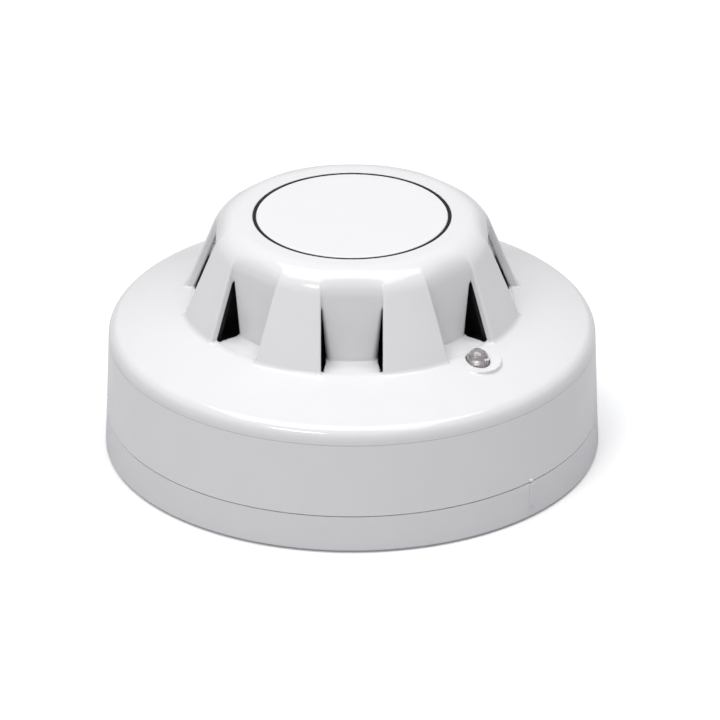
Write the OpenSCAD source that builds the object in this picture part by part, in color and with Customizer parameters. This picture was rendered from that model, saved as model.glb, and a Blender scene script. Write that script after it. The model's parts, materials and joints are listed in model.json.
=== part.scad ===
// Point heat detector: twist-lock mounting base with screw terminals, and a vented head with
// circuit board, thermistor and alarm lamp under a push-on cover.
// Frame: origin at the centre of the base's back face, +Z out of the mounting surface towards the nose,
// -Y is the front of the detector. All sizes in mm.

/* [Overall] */
// Outer diameter of the base where it meets the mounting surface
overall_d = 100; // [98:0.5:125]
// Height from the mounting surface to the top disc
overall_h = 50; // [42:0.5:62]
// Height of the base below the seam with the head
base_h = 7.5; // [7:0.1:9]
// Gap between base and head at the seam
seam_gap = 0.1; // [0.05:0.05:0.3]

/* [Base] */
// Thickness of the base floor
floor_t = 2; // [1.6:0.1:2.4]
// Thickness of the base outer wall
base_wall = 2.2; // [1.8:0.1:3]
// How much the base flares from the seam to its back face, on the radius
base_flare = 0.3; // [0:0.1:1]
// Diameter of the cable opening in the base floor
cable_open_d = 38; // [28:1:39]
// Distance between the centres of the two fixing slots
fix_pitch = 60; // [56:1:64]
// Width of a fixing slot
fix_slot_w = 4.5; // [3.5:0.1:6]
// End-to-end length of a fixing slot
fix_slot_len = 13.5; // [8:0.5:14]

/* [Twist lock] */
// Half angle of a locking foot
lug_half = 7.5; // [5:0.5:9]
// Angle the head turns from locked to free
unlock_deg = 20; // [17:1:24]
// Vertical gap between a locking foot and the lip over it
lock_gap = 0.2; // [0.1:0.05:0.4]

/* [Terminals] */
// Radius of a terminal screw's thread
term_screw_r = 1.75; // [1.4:0.05:2]
// Radius of a terminal screw's head
term_head_r = 3; // [2.6:0.1:3.3]
// How far a clamp plate lifts to take a wire
clamp_lift = 2; // [1:0.1:2.2]
// Thickness of the contact strips
strip_t = 0.4; // [0.3:0.05:0.6]

/* [Cover] */
// Wall thickness of the nose ribs
rib_wall = 1.7; // [1.3:0.1:2.2]
// Number of vent recesses round the nose
vent_count = 8; // [6:1:9]
// Width of a vent recess
vent_w = 12.3; // [9:0.1:14]
// Depth of a recess at its floor, from the foot of the ribs to the panel
vent_depth = 6.9; // [5.5:0.1:8]
// Width of the slit each side of a panel's foot
slit_w = 0.9; // [0.5:0.05:1.6]
// Radius of the inlaid top disc
disc_r = 19.3; // [14:0.1:20]
// Width of the dark joint round the top disc
disc_gap = 0.7; // [0.4:0.05:1.2]
// Radius of the rounded rim between skirt and shoulder
rim_r = 3; // [1:0.1:5]

/* [Head internals] */
// Thickness of the circuit board
board_t = 1.6; // [1:0.1:2]
// Height of the circuit board's underside above the chassis plate
board_lift = 6.2; // [4:0.1:8]
// Radius of the alarm lamp
led_r = 2.3; // [1.4:0.05:2.5]
// Radius of the thermistor bead
bead_r = 1.3; // [0.6:0.1:2]

/* [Hidden] */
$fn = 64;
eps = 0.01;
run = 0.1;                       // running clearance of push-on and turning fits
free = 0.3;                      // clearance between curved faces that never touch
base_r = overall_d / 2;          // radius of the back face
seam_r = base_r - base_flare;    // radius at the seam
head_z0 = base_h + seam_gap;     // lower edge of the cover
skirt_top_r = seam_r - 0.5;      // skirt radius below the rim, moulding draft
shoulder_deg = 18.6;             // slope of the shoulder
nose_foot_r = base_r * 0.686;    // radius where the ribs meet the shoulder
skirt_top_z = overall_h * 0.476; // height where the rim starts to round over
rim_end_r = skirt_top_r - rim_r + rim_r * sin(shoulder_deg);
rim_end_z = skirt_top_z + rim_r * cos(shoulder_deg);
vent_floor_z = rim_end_z + (rim_end_r - nose_foot_r) * tan(shoulder_deg);
panel_r = nose_foot_r - vent_depth;
panel_half = vent_w / 2 - slit_w;
rib_deg = atan((nose_foot_r - panel_r - 0.7) / (overall_h - 3 - vent_floor_z)); // lean of the ribs
hollow_z = overall_h - 7;        // top of the hollow inside a rib
dome_r = 6.5;                    // rounding between ribs and top
dome_cz = overall_h - dome_r;
dome_cr = nose_foot_r - (dome_cz - vent_floor_z) * tan(rib_deg) - dome_r / cos(rib_deg);
roll_r = 6;                      // rounding at the top of a vent panel
roll_z = overall_h - 5.17;
inner_r = panel_r - 1.5;         // radius of the sensing chamber inside the panels
ceil_z = overall_h - 2.8;        // underside of the top
seat_z = overall_h - 1.2;        // seat of the top disc
cover_in_r = skirt_top_r - 2.2;  // inner radius of the skirt
fit_r = cover_in_r + 0.4;        // bore that pushes over the chassis
vent_step = 360 / vent_count;
front = -90;                     // azimuth of the front

lip_z = 4.7;                     // underside of a locking lip
lip_t = 1.7;
foot_t = 1.5;
lug_r0 = base_r - 8.4;           // inner radius of a lug
lug_r1 = base_r - 6.8;           // outer radius of its post
foot_r = base_r - 3.4;           // outer radius of its foot
lip_r = lug_r1 + 0.4;            // inner radius of a lip
lug_az = [30, 150, 270];

term_az = [45, 135, 225, 315, 90];
term_r = 30;                     // distance of a terminal screw from the axis
ped_z = floor_t + 1.4;           // top of a terminal pedestal
strip_top = ped_z + strip_t;
clamp_t = 1.1;
clamp_top = strip_top + clamp_t;
screw_head_h = 1.6;
leaf_r0 = 34.4;                  // inner edge of a contact leaf
leaf_r1 = 38.4;                  // outer edge of a contact leaf
leaf_at = 9.3;                   // distance of a leaf's crest from its terminal
crest_z = base_h - 0.05;         // height of a leaf's crest
tail_r = 0.6;                    // solder tail of a head contact
pin_at = 36.4;                   // distance of a tail from the axis

chassis_z = max(clamp_top + screw_head_h + clamp_lift + 0.7, base_h + 1.2);
chassis_t = 1.6;
chassis_top = chassis_z + chassis_t;
chassis_r = fit_r - run;
board_z = chassis_top + board_lift;
board_top = board_z + board_t;

led_at = nose_foot_r + 1.2;      // distance of the alarm lamp from the axis
board_r = led_at + 4.5;
post_az = [100, 220, 340];       // board posts
post_r = 34;
tray_r = inner_r - 0.6;          // radius of the chamber tray and cage
tray_z = vent_floor_z - 3.2;
tray_t = 1.4;
tray_top = tray_z + tray_t;
tray_out = nose_foot_r - 1.3;    // radius of the tray's thinner outer zone
open_r = nose_foot_r - rib_wall / cos(rib_deg) - 0.15; // openings in the cover's floor
leg_az = [40, 160, 280];
leg_r = 20;
cage_top = overall_h - 5.3;
mesh_r = tray_r - 1.4;
bead_z = overall_h - 10;
led_az = front + 45;
led_base = board_top + 6;
led_dome = vent_floor_z - 0.77;  // height of the centre of the lamp's round end
mark_az = front + 46;

// points of an arc in the section plane, from angle a0 to a1 in n steps
function arc(cr, cz, r, a0, a1, n) =
    [for (i = [0:n]) let (a = a0 + (a1 - a0) * i / n) [cr + r * cos(a), cz + r * sin(a)]];

// a ring sector between two radii, a half angle either side of the X axis
module sector(r0, r1, half, z0, z1) {
    translate([0, 0, z0])
        rotate([0, 0, -half])
            rotate_extrude(angle = 2 * half)
                translate([r0, 0]) square([r1 - r0, z1 - z0]);
}

// a section in the radius-height plane, extruded across the X axis
module across(w) {
    rotate([90, 0, 0])
        linear_extrude(height = w, center = true) children();
}

module tube(r0, r1, z0, z1) {
    translate([0, 0, z0])
        linear_extrude(height = z1 - z0)
            difference() {
                circle(r = r1);
                circle(r = r0);
            }
}

module rod(r, z0, z1) {
    translate([0, 0, z0]) cylinder(r = r, h = z1 - z0);
}

module block(x0, x1, y0, y1, z0, z1) {
    translate([x0, y0, z0]) cube([x1 - x0, y1 - y0, z1 - z0]);
}

module at(az, r, z = 0) {
    rotate([0, 0, az]) translate([r, 0, z]) children();
}

// ---- base ----

module fixing_slot() {
    half = (fix_slot_len - fix_slot_w) / 2;
    translate([0, 0, -1])
        linear_extrude(height = floor_t + 3) {
            translate([-half, 0]) circle(d = fix_slot_w);
            translate([half, 0]) circle(d = fix_slot_w);
            square([2 * half, fix_slot_w], center = true);
        }
}

module pedestal() {
    block(24.2, 38.8, -4.6, 3.6, floor_t - eps, ped_z);
    for (y = [-6, 4.8])
        block(24.2, 33.4, y, y + 1.2, floor_t - eps, ped_z + 1.6);
}

// lip over a foot, with a stop at each end of its turn
module lock_lip() {
    sector(lip_r, seam_r - 1, lug_half + 0.5, lip_z, lip_z + lip_t);
    for (a = [-lug_half - 1.3, unlock_deg + lug_half + 1.3])
        rotate([0, 0, a]) sector(lip_r + 0.1, seam_r - 1.2, 0.8, floor_t - 0.5, lip_z + lip_t - 0.1);
}

module base_moulding() {
    color([0.93, 0.93, 0.92])
    difference() {
        union() {
            rotate_extrude()
                polygon([[cable_open_d / 2, 0], [base_r - 0.3, 0], [base_r, 0.3], [seam_r, base_h],
                    [seam_r - base_wall, base_h], [seam_r - base_wall, floor_t],
                    [cable_open_d / 2 + 1.4, floor_t], [cable_open_d / 2 + 1.4, floor_t + 2.6],
                    [cable_open_d / 2, floor_t + 2.6]]);
            for (a = term_az)
                rotate([0, 0, a]) pedestal();
            for (a = lug_az)
                rotate([0, 0, a]) lock_lip();
            rotate([0, 0, mark_az])
                block(seam_r - 0.6, base_r + 0.3, -0.55, 0.55, 2.6, base_h - 0.03);
        }
        for (s = [-1, 1])
            translate([s * fix_pitch / 2, 0, 0]) fixing_slot();
        for (a = term_az)
            at(a, term_r) rod(term_screw_r + free, 0.5, ped_z + 1);
    }
}

// flat strip under a clamp plate
module strip_flat(reach) {
    difference() {
        block(24.6, reach, -4, 3.2, ped_z, strip_top);
        at(0, term_r) rod(term_screw_r + run, ped_z - 1, strip_top + 1);
    }
}

// strip with a leaf that rises to meet the head's contact
module contact_spring(az) {
    color([0.78, 0.78, 0.76])
    rotate([0, 0, az]) {
        strip_flat(leaf_r1);
        translate([(leaf_r0 + leaf_r1) / 2, 0, 0])
            rotate([90, 0, 90])
                linear_extrude(height = leaf_r1 - leaf_r0, center = true)
                    polygon([[3, ped_z], [3, strip_top], [3.5, strip_top], [leaf_at - 0.6, crest_z],
                        [leaf_at + 0.6, crest_z], [leaf_at + 3, crest_z - 1.2],
                        [leaf_at + 2.8, crest_z - 1.2 - strip_t], [leaf_at + 0.4, crest_z - strip_t],
                        [leaf_at - 0.4, crest_z - strip_t], [3.7, ped_z]]);
    }
}

module earth_strip() {
    color([0.78, 0.78, 0.76])
    rotate([0, 0, term_az[4]]) strip_flat(36);
}

module clamp_plate(i) {
    color([0.82, 0.82, 0.80])
    at(term_az[i], term_r)
        difference() {
            block(-3.4, 3.4, -3.4, 2.9, strip_top, clamp_top);
            rod(term_screw_r + free, strip_top - 1, clamp_top + 1);
            for (y = [-1.5, 1.5])
                translate([-3.2, y, strip_top]) rotate([0, 45, 0]) cube([0.5, 1, 0.5], center = true);
        }
}

module terminal_screw(i) {
    color([0.80, 0.79, 0.74])
    at(term_az[i], term_r)
        difference() {
            union() {
                rod(term_screw_r, floor_t - 0.9, clamp_top + eps);
                rod(term_head_r, clamp_top, clamp_top + screw_head_h);
            }
            block(-2.1, 2.1, -0.4, 0.4, clamp_top + 0.7, clamp_top + 2);
            block(-0.4, 0.4, -2.1, 2.1, clamp_top + 0.7, clamp_top + 2);
        }
}

// ---- head ----

// post with an outward foot that turns in under a lip of the base
module lug() {
    sector(lug_r0, lug_r1, lug_half, lip_z - lock_gap - foot_t, chassis_z + eps);
    sector(lug_r0, foot_r, lug_half, lip_z - lock_gap - foot_t, lip_z - lock_gap);
}

module head_chassis() {
    color([0.90, 0.90, 0.89])
    difference() {
        union() {
            rod(chassis_r, chassis_z, chassis_top);
            tube(board_r + 2.6, board_r + 3.8, chassis_top - eps, chassis_top + 4);
            tube(21.5, 22.7, chassis_z - 0.8, chassis_z + eps);
            for (a = lug_az)
                rotate([0, 0, a]) lug();
            for (a = post_az)
                at(a, post_r) rod(2.8, chassis_top - eps, board_z);
        }
        for (a = post_az)
            at(a, post_r) rod(1.25, chassis_top, board_z + 1);
        for (i = [0:3])
            rotate([0, 0, term_az[i]]) translate([pin_at, leaf_at, 0]) rod(tail_r, chassis_z - 1, chassis_top + 1);
        for (a = [0, 120, 240])
            rotate([0, 0, a + 5]) block(cover_in_r - 1.8, chassis_r + 1, -1.2, 1.2, chassis_z - 1, chassis_top + 1);
    }
}

// pads that slide on to the base's leaves, each with a tail soldered to the board
module head_contacts() {
    color([0.80, 0.78, 0.70])
    for (i = [0:3])
        rotate([0, 0, term_az[i]]) {
            block(leaf_r0 + 0.2, leaf_r1 - 0.2, leaf_at - 1.7, leaf_at + 1.7, base_h, chassis_z);
            translate([pin_at, leaf_at, 0]) rod(tail_r, chassis_z - eps, board_top + 0.8);
        }
}

module circuit_board() {
    color([0.10, 0.36, 0.20])
    difference() {
        rod(board_r, board_z, board_top);
        for (i = [0:3])
            rotate([0, 0, term_az[i]]) translate([pin_at, leaf_at, 0]) rod(tail_r + 0.05, board_z - 1, board_top + 1);
        for (a = post_az)
            at(a, post_r) rod(1.4, board_z - 1, board_top + 1);
        for (s = [-1, 1]) {
            at(led_az, led_at) translate([0, 1.27 * s, 0]) rod(0.35, board_z - 1, board_top + 1);
            translate([1 * s, 0, 0]) rod(0.35, board_z - 1, board_top + 1);
        }
    }
}

module board_screws() {
    color([0.72, 0.72, 0.70])
    for (a = post_az)
        at(a, post_r)
            difference() {
                union() {
                    rod(1.25, board_z - 4.5, board_top + eps);
                    rod(2.3, board_top, board_top + 1.5);
                }
                block(-1.6, 1.6, -0.35, 0.35, board_top + 0.7, board_top + 2);
                block(-0.35, 0.35, -1.6, 1.6, board_top + 0.7, board_top + 2);
            }
}

// chip body with a row of gull legs on two sides
module chip(w, l, h, legs) {
    block(-w / 2, w / 2, -l / 2, l / 2, board_top + 0.15, board_top + 0.15 + h);
    for (i = [0:legs - 1], s = [-1, 1])
        translate([0, (i - (legs - 1) / 2) * 1.27, 0])
            block(s > 0 ? w / 2 - eps : -w / 2 - 1, s > 0 ? w / 2 + 1 : -w / 2 + eps,
                -0.2, 0.2, board_top, board_top + 0.5);
}

module processor_chip() {
    color([0.12, 0.12, 0.13])
    translate([-11, 9, 0]) rotate([0, 0, 20]) chip(7.5, 12.6, 2.3, 9);
}

module driver_chips() {
    color([0.14, 0.14, 0.15]) {
        translate([8.5, 8, 0]) chip(4, 5, 1.5, 4);
        translate([-29, -6, 0]) chip(4, 5, 1.5, 4);
    }
}

module filter_capacitor() {
    color([0.20, 0.22, 0.28])
    translate([12, -10, 0])
        rotate_extrude()
            polygon(concat([[0, board_top], [2.9, board_top], [2.9, board_top + 0.8], [2.7, board_top + 1.2],
                [2.9, board_top + 1.6]], arc(2.5, board_top + 6.6, 0.4, 0, 90, 4), [[0, board_top + 7]]));
}

module chip_parts() {
    color([0.25, 0.22, 0.20])
    for (p = [[-8, -14, 0], [-4, -14, 0], [0, -14, 0], [-14, -7, 90], [-14, -3, 90], [3, 16, 0], [7, 18, 0],
        [-2, 18, 0], [25, -13, 60], [31, 6, 90], [27, 12, 30], [-24, 18, 45], [-28, 12, 45], [-8, -31, 0],
        [6, -32, 0], [14, -30, 0]])
        translate([p[0], p[1], 0]) rotate([0, 0, p[2]]) block(-1, 1, -0.6, 0.6, board_top, board_top + 0.6);
}

// ---- sensing chamber ----

module thermistor_post() {
    color([0.88, 0.87, 0.84])
    difference() {
        rotate_extrude()
            polygon([[0, board_top], [3.6, board_top], [3.6, board_top + 1.2], [2.4, board_top + 2.4],
                [2.4, bead_z - 5], [1.9, bead_z - 4], [0, bead_z - 4]]);
        for (s = [-1, 1])
            translate([s, 0, 0]) rod(0.35, board_top - 1, bead_z);
    }
}

module thermistor_leads() {
    color([0.75, 0.75, 0.74])
    for (s = [-1, 1])
        translate([s, 0, 0]) {
            rod(0.25, board_z - 0.8, bead_z - bead_r - 0.6);
            translate([0, 0, bead_z - bead_r - 0.6])
                rotate([0, -s * 28, 0]) rod(0.25, -0.05, 1.1);
        }
}

module thermistor_bead() {
    color([0.10, 0.11, 0.12])
    difference() {
        translate([0, 0, bead_z])
            rotate_extrude()
                polygon(concat([[0, -bead_r * 1.25]], [for (i = [1:11]) let (a = -90 + i * 15)
                    [bead_r * cos(a), bead_r * 1.25 * sin(a)]], [[0, bead_r * 1.25]]));
        thermistor_leads();
    }
}

module chamber_tray() {
    color([0.05, 0.05, 0.055])
    difference() {
        union() {
            rod(tray_r, tray_z, tray_top);
            rod(tray_out, tray_z, tray_top - 0.4);
            for (a = leg_az)
                at(a, leg_r) rod(2, board_top, tray_z + eps);
        }
        rod(2.4 + free, tray_z - 1, tray_top + 1);
        at(led_az, led_at) rod(5.3, tray_z - 1, tray_top + 1);
    }
}

// radius of a plate's outer face, just inside the rib's inner face
function plate_r(z) = nose_foot_r - (z - vent_floor_z) * tan(rib_deg) - rib_wall / cos(rib_deg) - 0.5;

// leaning plates that line the hollow of each rib, open behind the recesses
module cage_plates() {
    z1 = hollow_z - 0.5;
    difference() {
        rotate_extrude()
            polygon([[open_r - 0.6, tray_top - 0.4], [open_r - 0.6, vent_floor_z + 0.2], [plate_r(z1), z1],
                [tray_r - 0.15, cage_top - 0.5], [tray_r - 0.4, cage_top - 1.2], [plate_r(z1) - 1, z1 - 0.4],
                [open_r - 1.6, vent_floor_z], [open_r - 1.6, tray_top - 0.4]]);
        for (i = [0:vent_count - 1])
            rotate([0, 0, front + i * vent_step])
                block(18, overall_d, -vent_w / 2 - 0.9, vent_w / 2 + 0.9, tray_z, cage_top - 1.7);
        for (i = [0:vent_count - 1])
            rotate([0, 0, front + i * vent_step])
                block(tray_r - 0.05, overall_d, -vent_w / 2 - 0.9, vent_w / 2 + 0.9, tray_z, cage_top + 1);
    }
}

// upright fin in the middle of each rib, from the cage out to the plate
module cage_fin() {
    across(1.2)
        polygon([[tray_r - 0.8, tray_top + 0.05], [open_r - 1.1, tray_top + 0.05],
            [open_r - 1.1, vent_floor_z + 0.1], [plate_r(hollow_z - 1.2) - 0.5, hollow_z - 1.2],
            [tray_r - 0.8, cage_top - 1]]);
}

module screen_cage() {
    color([0.05, 0.05, 0.055]) {
        cage_plates();
        for (i = [0:vent_count - 1])
            rotate([0, 0, front + (i + 0.5) * vent_step]) cage_fin();
        tube(tray_r - 1.3, tray_r, tray_top, tray_top + 1.8);
        tube(tray_r - 1.3, tray_r, cage_top - 1.6, cage_top);
        for (i = [0:vent_count - 1])
            rotate([0, 0, front + i * vent_step])
                sector(tray_r - 1.2, tray_r - 0.1, 4, tray_top + 0.4, cage_top - 0.4);
    }
}

module mesh_screen() {
    color([0.09, 0.09, 0.10])
    difference() {
        tube(mesh_r - 0.3, mesh_r, tray_top, cage_top);
        for (i = [0:vent_count - 1], j = [-1.5:1:1.5], k = [0:2])
            rotate([0, 0, front + (i + 0.5) * vent_step + j * 7])
                block(mesh_r - 2, mesh_r + 1, -0.9, 0.9, tray_top + 2.4 + k * 3.9, tray_top + 5.6 + k * 3.9);
    }
}

module led_spacer() {
    color([0.90, 0.90, 0.88])
    at(led_az, led_at)
        difference() {
            rod(led_r, board_top, led_base);
            for (s = [-1, 1])
                translate([0, 1.27 * s, 0]) rod(0.35, board_top - 1, led_base + 1);
        }
}

module led_leads() {
    color([0.76, 0.76, 0.74])
    at(led_az, led_at)
        for (s = [-1, 1])
            translate([0, 1.27 * s, 0]) rod(0.25, board_z - 0.8, led_base);
}

module alarm_led() {
    color([0.85, 0.83, 0.84, 0.5])
    at(led_az, led_at)
        rotate_extrude()
            polygon(concat([[0, led_base], [led_r, led_base], [led_r, led_dome]],
                [for (i = [1:7]) [led_r * cos(i * 90 / 8), led_dome + led_r * sin(i * 90 / 8)]],
                [[0, led_dome + led_r]]));
}

// ---- cover ----

// half section of skirt, rim, shoulder, nose and chamber wall
module cover_section() {
    polygon(concat(
        [[fit_r, head_z0], [seam_r, head_z0]],
        arc(skirt_top_r - rim_r, skirt_top_z, rim_r, 0, 90 - shoulder_deg, 6),
        [[nose_foot_r + 1.5, vent_floor_z - 1.5 * tan(shoulder_deg)],
            [nose_foot_r + 0.4, vent_floor_z + 0.15], [nose_foot_r - 0.15, vent_floor_z + 0.65],
            [nose_foot_r - 1.6 * tan(rib_deg), vent_floor_z + 1.6]],
        arc(dome_cr, dome_cz, dome_r, rib_deg, 90, 8),
        [[disc_r + disc_gap, overall_h], [disc_r + disc_gap, seat_z], [0, seat_z], [0, ceil_z]],
        [[panel_r - roll_r + 2.8, ceil_z]],
        arc(panel_r - roll_r, roll_z, roll_r - 1.5, 30, 0, 2),
        [[nose_foot_r - (hollow_z - vent_floor_z) * tan(rib_deg) - rib_wall / cos(rib_deg), hollow_z],
            [nose_foot_r - rib_wall / cos(rib_deg), vent_floor_z],
            [inner_r, vent_floor_z], [inner_r, vent_floor_z - 1.8],
            [nose_foot_r - 0.5, vent_floor_z - 1.8],
            [rim_end_r - 1, rim_end_z - 1.6], [cover_in_r, skirt_top_z - 0.4],
            [cover_in_r, chassis_top + 0.05], [fit_r, chassis_top + 0.05]]));
}

// space of one vent recess, rounded over at the top
module vent_cut() {
    across(vent_w)
        polygon(concat([[panel_r, vent_floor_z]], arc(panel_r - roll_r, roll_z, roll_r, 0, 48.2, 6),
            [[panel_r - roll_r + 6, overall_h + 1], [nose_foot_r + 8, overall_h + 1],
            [nose_foot_r + 8, vent_floor_z]]));
}

// upright panel in a recess, round at its edges, with webs that close the slits upwards
module vent_panel() {
    edge = 1.4;
    translate([0, 0, vent_floor_z - 0.8])
        linear_extrude(height = roll_z - vent_floor_z + 1.1)
            polygon(concat(
                [[panel_r - 1.8, -panel_half], [panel_r - edge, -panel_half]],
                arc(panel_r - edge, -panel_half + edge, edge, -67.5, 0, 3),
                arc(panel_r - edge, panel_half - edge, edge, 0, 67.5, 3),
                [[panel_r - edge, panel_half], [panel_r - 1.8, panel_half]]));
    for (s = [-1, 1])
        translate([panel_r - 1.2, 0, 0])
            rotate([90, 0, 90])
                linear_extrude(height = 0.6)
                    polygon([[s * (panel_half - 0.3), vent_floor_z], [s * panel_half, vent_floor_z],
                        [s * (vent_w / 2 + 0.2), roll_z - 0.4], [s * (vent_w / 2 + 0.2), roll_z + 0.4],
                        [s * (panel_half - 0.3), roll_z + 0.4]]);
}

// the cover's floor is open under the hollow ribs; a tongue is left in each recess
module floor_openings() {
    difference() {
        rod(open_r, vent_floor_z - 2.6, vent_floor_z + eps);
        for (i = [0:vent_count - 1])
            rotate([0, 0, front + i * vent_step])
                translate([0, 0, vent_floor_z - 3])
                    linear_extrude(height = 4)
                        polygon([[inner_r - 2, -panel_half], [panel_r - 1, -panel_half],
                            [nose_foot_r - 0.5, -vent_w / 2 + 0.1], [nose_foot_r - 0.5, vent_w / 2 - 0.1],
                            [panel_r - 1, panel_half], [inner_r - 2, panel_half]]);
    }
}

module outer_cover() {
    color([0.94, 0.94, 0.93])
    difference() {
        union() {
            difference() {
                rotate_extrude() cover_section();
                for (i = [0:vent_count - 1])
                    rotate([0, 0, front + i * vent_step]) vent_cut();
                floor_openings();
            }
            for (i = [0:vent_count - 1])
                rotate([0, 0, front + i * vent_step]) vent_panel();
            for (a = [0, 120, 240])
                rotate([0, 0, a + 5])
                    block(cover_in_r - 1.4, cover_in_r + 0.6, -1, 1, chassis_z + 0.2, skirt_top_z - 3);
            rotate([0, 0, mark_az])
                block(seam_r - 0.9, seam_r + 0.4, -0.55, 0.55, head_z0 + 0.03, head_z0 + 0.7);
            at(led_az, led_at) rod(4.8, vent_floor_z - 3.6, vent_floor_z - 1.3);
        }
        at(led_az, led_at) {
            rod(led_r + free, vent_floor_z - 6, vent_floor_z + 3);
            translate([0, 0, vent_floor_z - 1.2 * tan(shoulder_deg) - 0.5])
                rotate([0, shoulder_deg, 0]) cylinder(r = 3.65, h = 4);
        }
        for (a = [30, 150, 270])
            at(a, 12) rod(1.2, ceil_z - 1, seat_z + 1);
    }
}

module top_disc() {
    color([0.95, 0.95, 0.94]) {
        rotate_extrude()
            polygon([[0, seat_z], [disc_r, seat_z], [disc_r, overall_h - 0.15], [disc_r - 0.15, overall_h],
                [0, overall_h]]);
        for (a = [30, 150, 270])
            at(a, 12) rod(1.2, ceil_z - 0.6, seat_z + eps);
    }
}

module disc_seal() {
    color([0.04, 0.04, 0.045])
    tube(disc_r + 0.02, disc_r + disc_gap - 0.02, seat_z, overall_h - 0.45);
}

base_moulding();
contact_spring(term_az[0]);  // contact_spring_1
contact_spring(term_az[1]);  // contact_spring_2
contact_spring(term_az[2]);  // contact_spring_3
contact_spring(term_az[3]);  // contact_spring_4
earth_strip();
clamp_plate(0);  // clamp_plate_1
clamp_plate(1);  // clamp_plate_2
clamp_plate(2);  // clamp_plate_3
clamp_plate(3);  // clamp_plate_4
clamp_plate(4);  // clamp_plate_5
terminal_screw(0);  // terminal_screw_1
terminal_screw(1);  // terminal_screw_2
terminal_screw(2);  // terminal_screw_3
terminal_screw(3);  // terminal_screw_4
terminal_screw(4);  // terminal_screw_5
head_chassis();
head_contacts();
circuit_board();
board_screws();
processor_chip();
driver_chips();
filter_capacitor();
chip_parts();
thermistor_post();
thermistor_leads();
thermistor_bead();
chamber_tray();
screen_cage();
mesh_screen();
led_spacer();
led_leads();
alarm_led();
outer_cover();
top_disc();
disc_seal();
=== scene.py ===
# %% [markdown]
# # A twist-lock heat detector
# A point heat detector is a small white moulded housing that hangs from a ceiling. A low round base is
# screwed to the ceiling, and a head is pushed on to it and turned. Air reaches a bead thermistor in the
# head through openings beside eight ribs. The engineering model, made elsewhere, is loaded first as a
# fixed frame: each piece made here takes its place from that frame and rides on one of its bodies.

import json
import math

import bmesh
import bpy
import numpy as np
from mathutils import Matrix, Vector


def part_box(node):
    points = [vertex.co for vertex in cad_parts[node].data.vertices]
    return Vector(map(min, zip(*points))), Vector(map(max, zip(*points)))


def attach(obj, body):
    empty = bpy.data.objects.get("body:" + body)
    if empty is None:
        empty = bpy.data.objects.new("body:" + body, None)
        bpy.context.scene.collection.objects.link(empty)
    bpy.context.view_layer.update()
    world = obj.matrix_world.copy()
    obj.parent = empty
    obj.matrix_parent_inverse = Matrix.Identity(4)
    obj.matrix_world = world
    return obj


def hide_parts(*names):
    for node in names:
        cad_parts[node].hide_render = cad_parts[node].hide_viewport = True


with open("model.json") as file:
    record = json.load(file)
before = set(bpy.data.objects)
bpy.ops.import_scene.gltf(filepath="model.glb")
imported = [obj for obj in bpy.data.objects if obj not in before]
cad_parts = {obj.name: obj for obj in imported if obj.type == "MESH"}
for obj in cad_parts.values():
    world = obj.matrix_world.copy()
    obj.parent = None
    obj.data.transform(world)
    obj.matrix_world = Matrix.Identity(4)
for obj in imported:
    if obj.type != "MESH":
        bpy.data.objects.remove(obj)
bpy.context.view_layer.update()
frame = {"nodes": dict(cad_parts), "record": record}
MM = 0.001

# %% [markdown]
# ## The main sizes
# The frame answers questions such as how tall the whole is or where the cover begins. Working from those
# answers keeps every new piece in register with the frame. The sizes below are in millimetres.

# %% Main sizes
top_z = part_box("top_disc")[1].z / MM
disc_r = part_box("top_disc")[1].x / MM
base_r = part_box("base_moulding")[1].x / MM
cover_z0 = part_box("outer_cover")[0].z / MM
seam_r = base_r - 0.3
skirt_r = seam_r - 0.5
wall_r = skirt_r - 2.2
FRONT = math.radians(-90)
VENTS = 8
print(f"height {top_z:.1f}, base radius {base_r:.1f}, disc radius {disc_r:.1f}, cover starts {cover_z0:.1f}")

# %% [markdown]
# ## Shading tools
# Everything that follows needs materials, and a few effects come back in most of them. Each effect is a
# node group that is built once: a group has named inputs, so the same grain can be coarse on one plastic
# and fine on the next. The groups give out only a value or a normal. The shader stays in the material.

# %% Helpers for node trees
def new_group(name, inputs, outputs):
    tree = bpy.data.node_groups.new(name, "ShaderNodeTree")
    for label, kind, value in inputs:
        socket = tree.interface.new_socket(name=label, in_out="INPUT", socket_type=kind)
        socket.default_value = value
    for label, kind in outputs:
        tree.interface.new_socket(name=label, in_out="OUTPUT", socket_type=kind)
    return tree, tree.nodes.new("NodeGroupInput"), tree.nodes.new("NodeGroupOutput")


def node(tree, kind, settings=(), links=(), **values):
    """A node with its settings, its unlinked values, and links given as (input, output socket)."""
    made = tree.nodes.new(kind)
    for key, value in dict(settings).items():
        setattr(made, key, value)
    for key, value in values.items():
        made.inputs[key].default_value = value
    for key, source in dict(links).items():
        tree.links.new(source, made.inputs[key])
    return made


def math_node(tree, operation, a, b=None, clamp=False):
    made = tree.nodes.new("ShaderNodeMath")
    made.operation = operation
    made.use_clamp = clamp
    for i, v in enumerate([a] if b is None else [a, b]):
        if isinstance(v, (int, float)):
            made.inputs[i].default_value = v
        else:
            tree.links.new(v, made.inputs[i])
    return made.outputs[0]


print("node helpers ready")

# %% [markdown]
# ### Moulded skin
# Injection-moulded plastic copies its steel mould. The mould is spark-eroded, which leaves a fine even
# grain, and the plastic sinks very slightly as it cools, which makes reflections swim a little. Both are
# noise fields read in the object's own coordinates, so they stay on the part when it moves. The group
# gives a height for a Bump node and a value that makes the gloss uneven.

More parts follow.
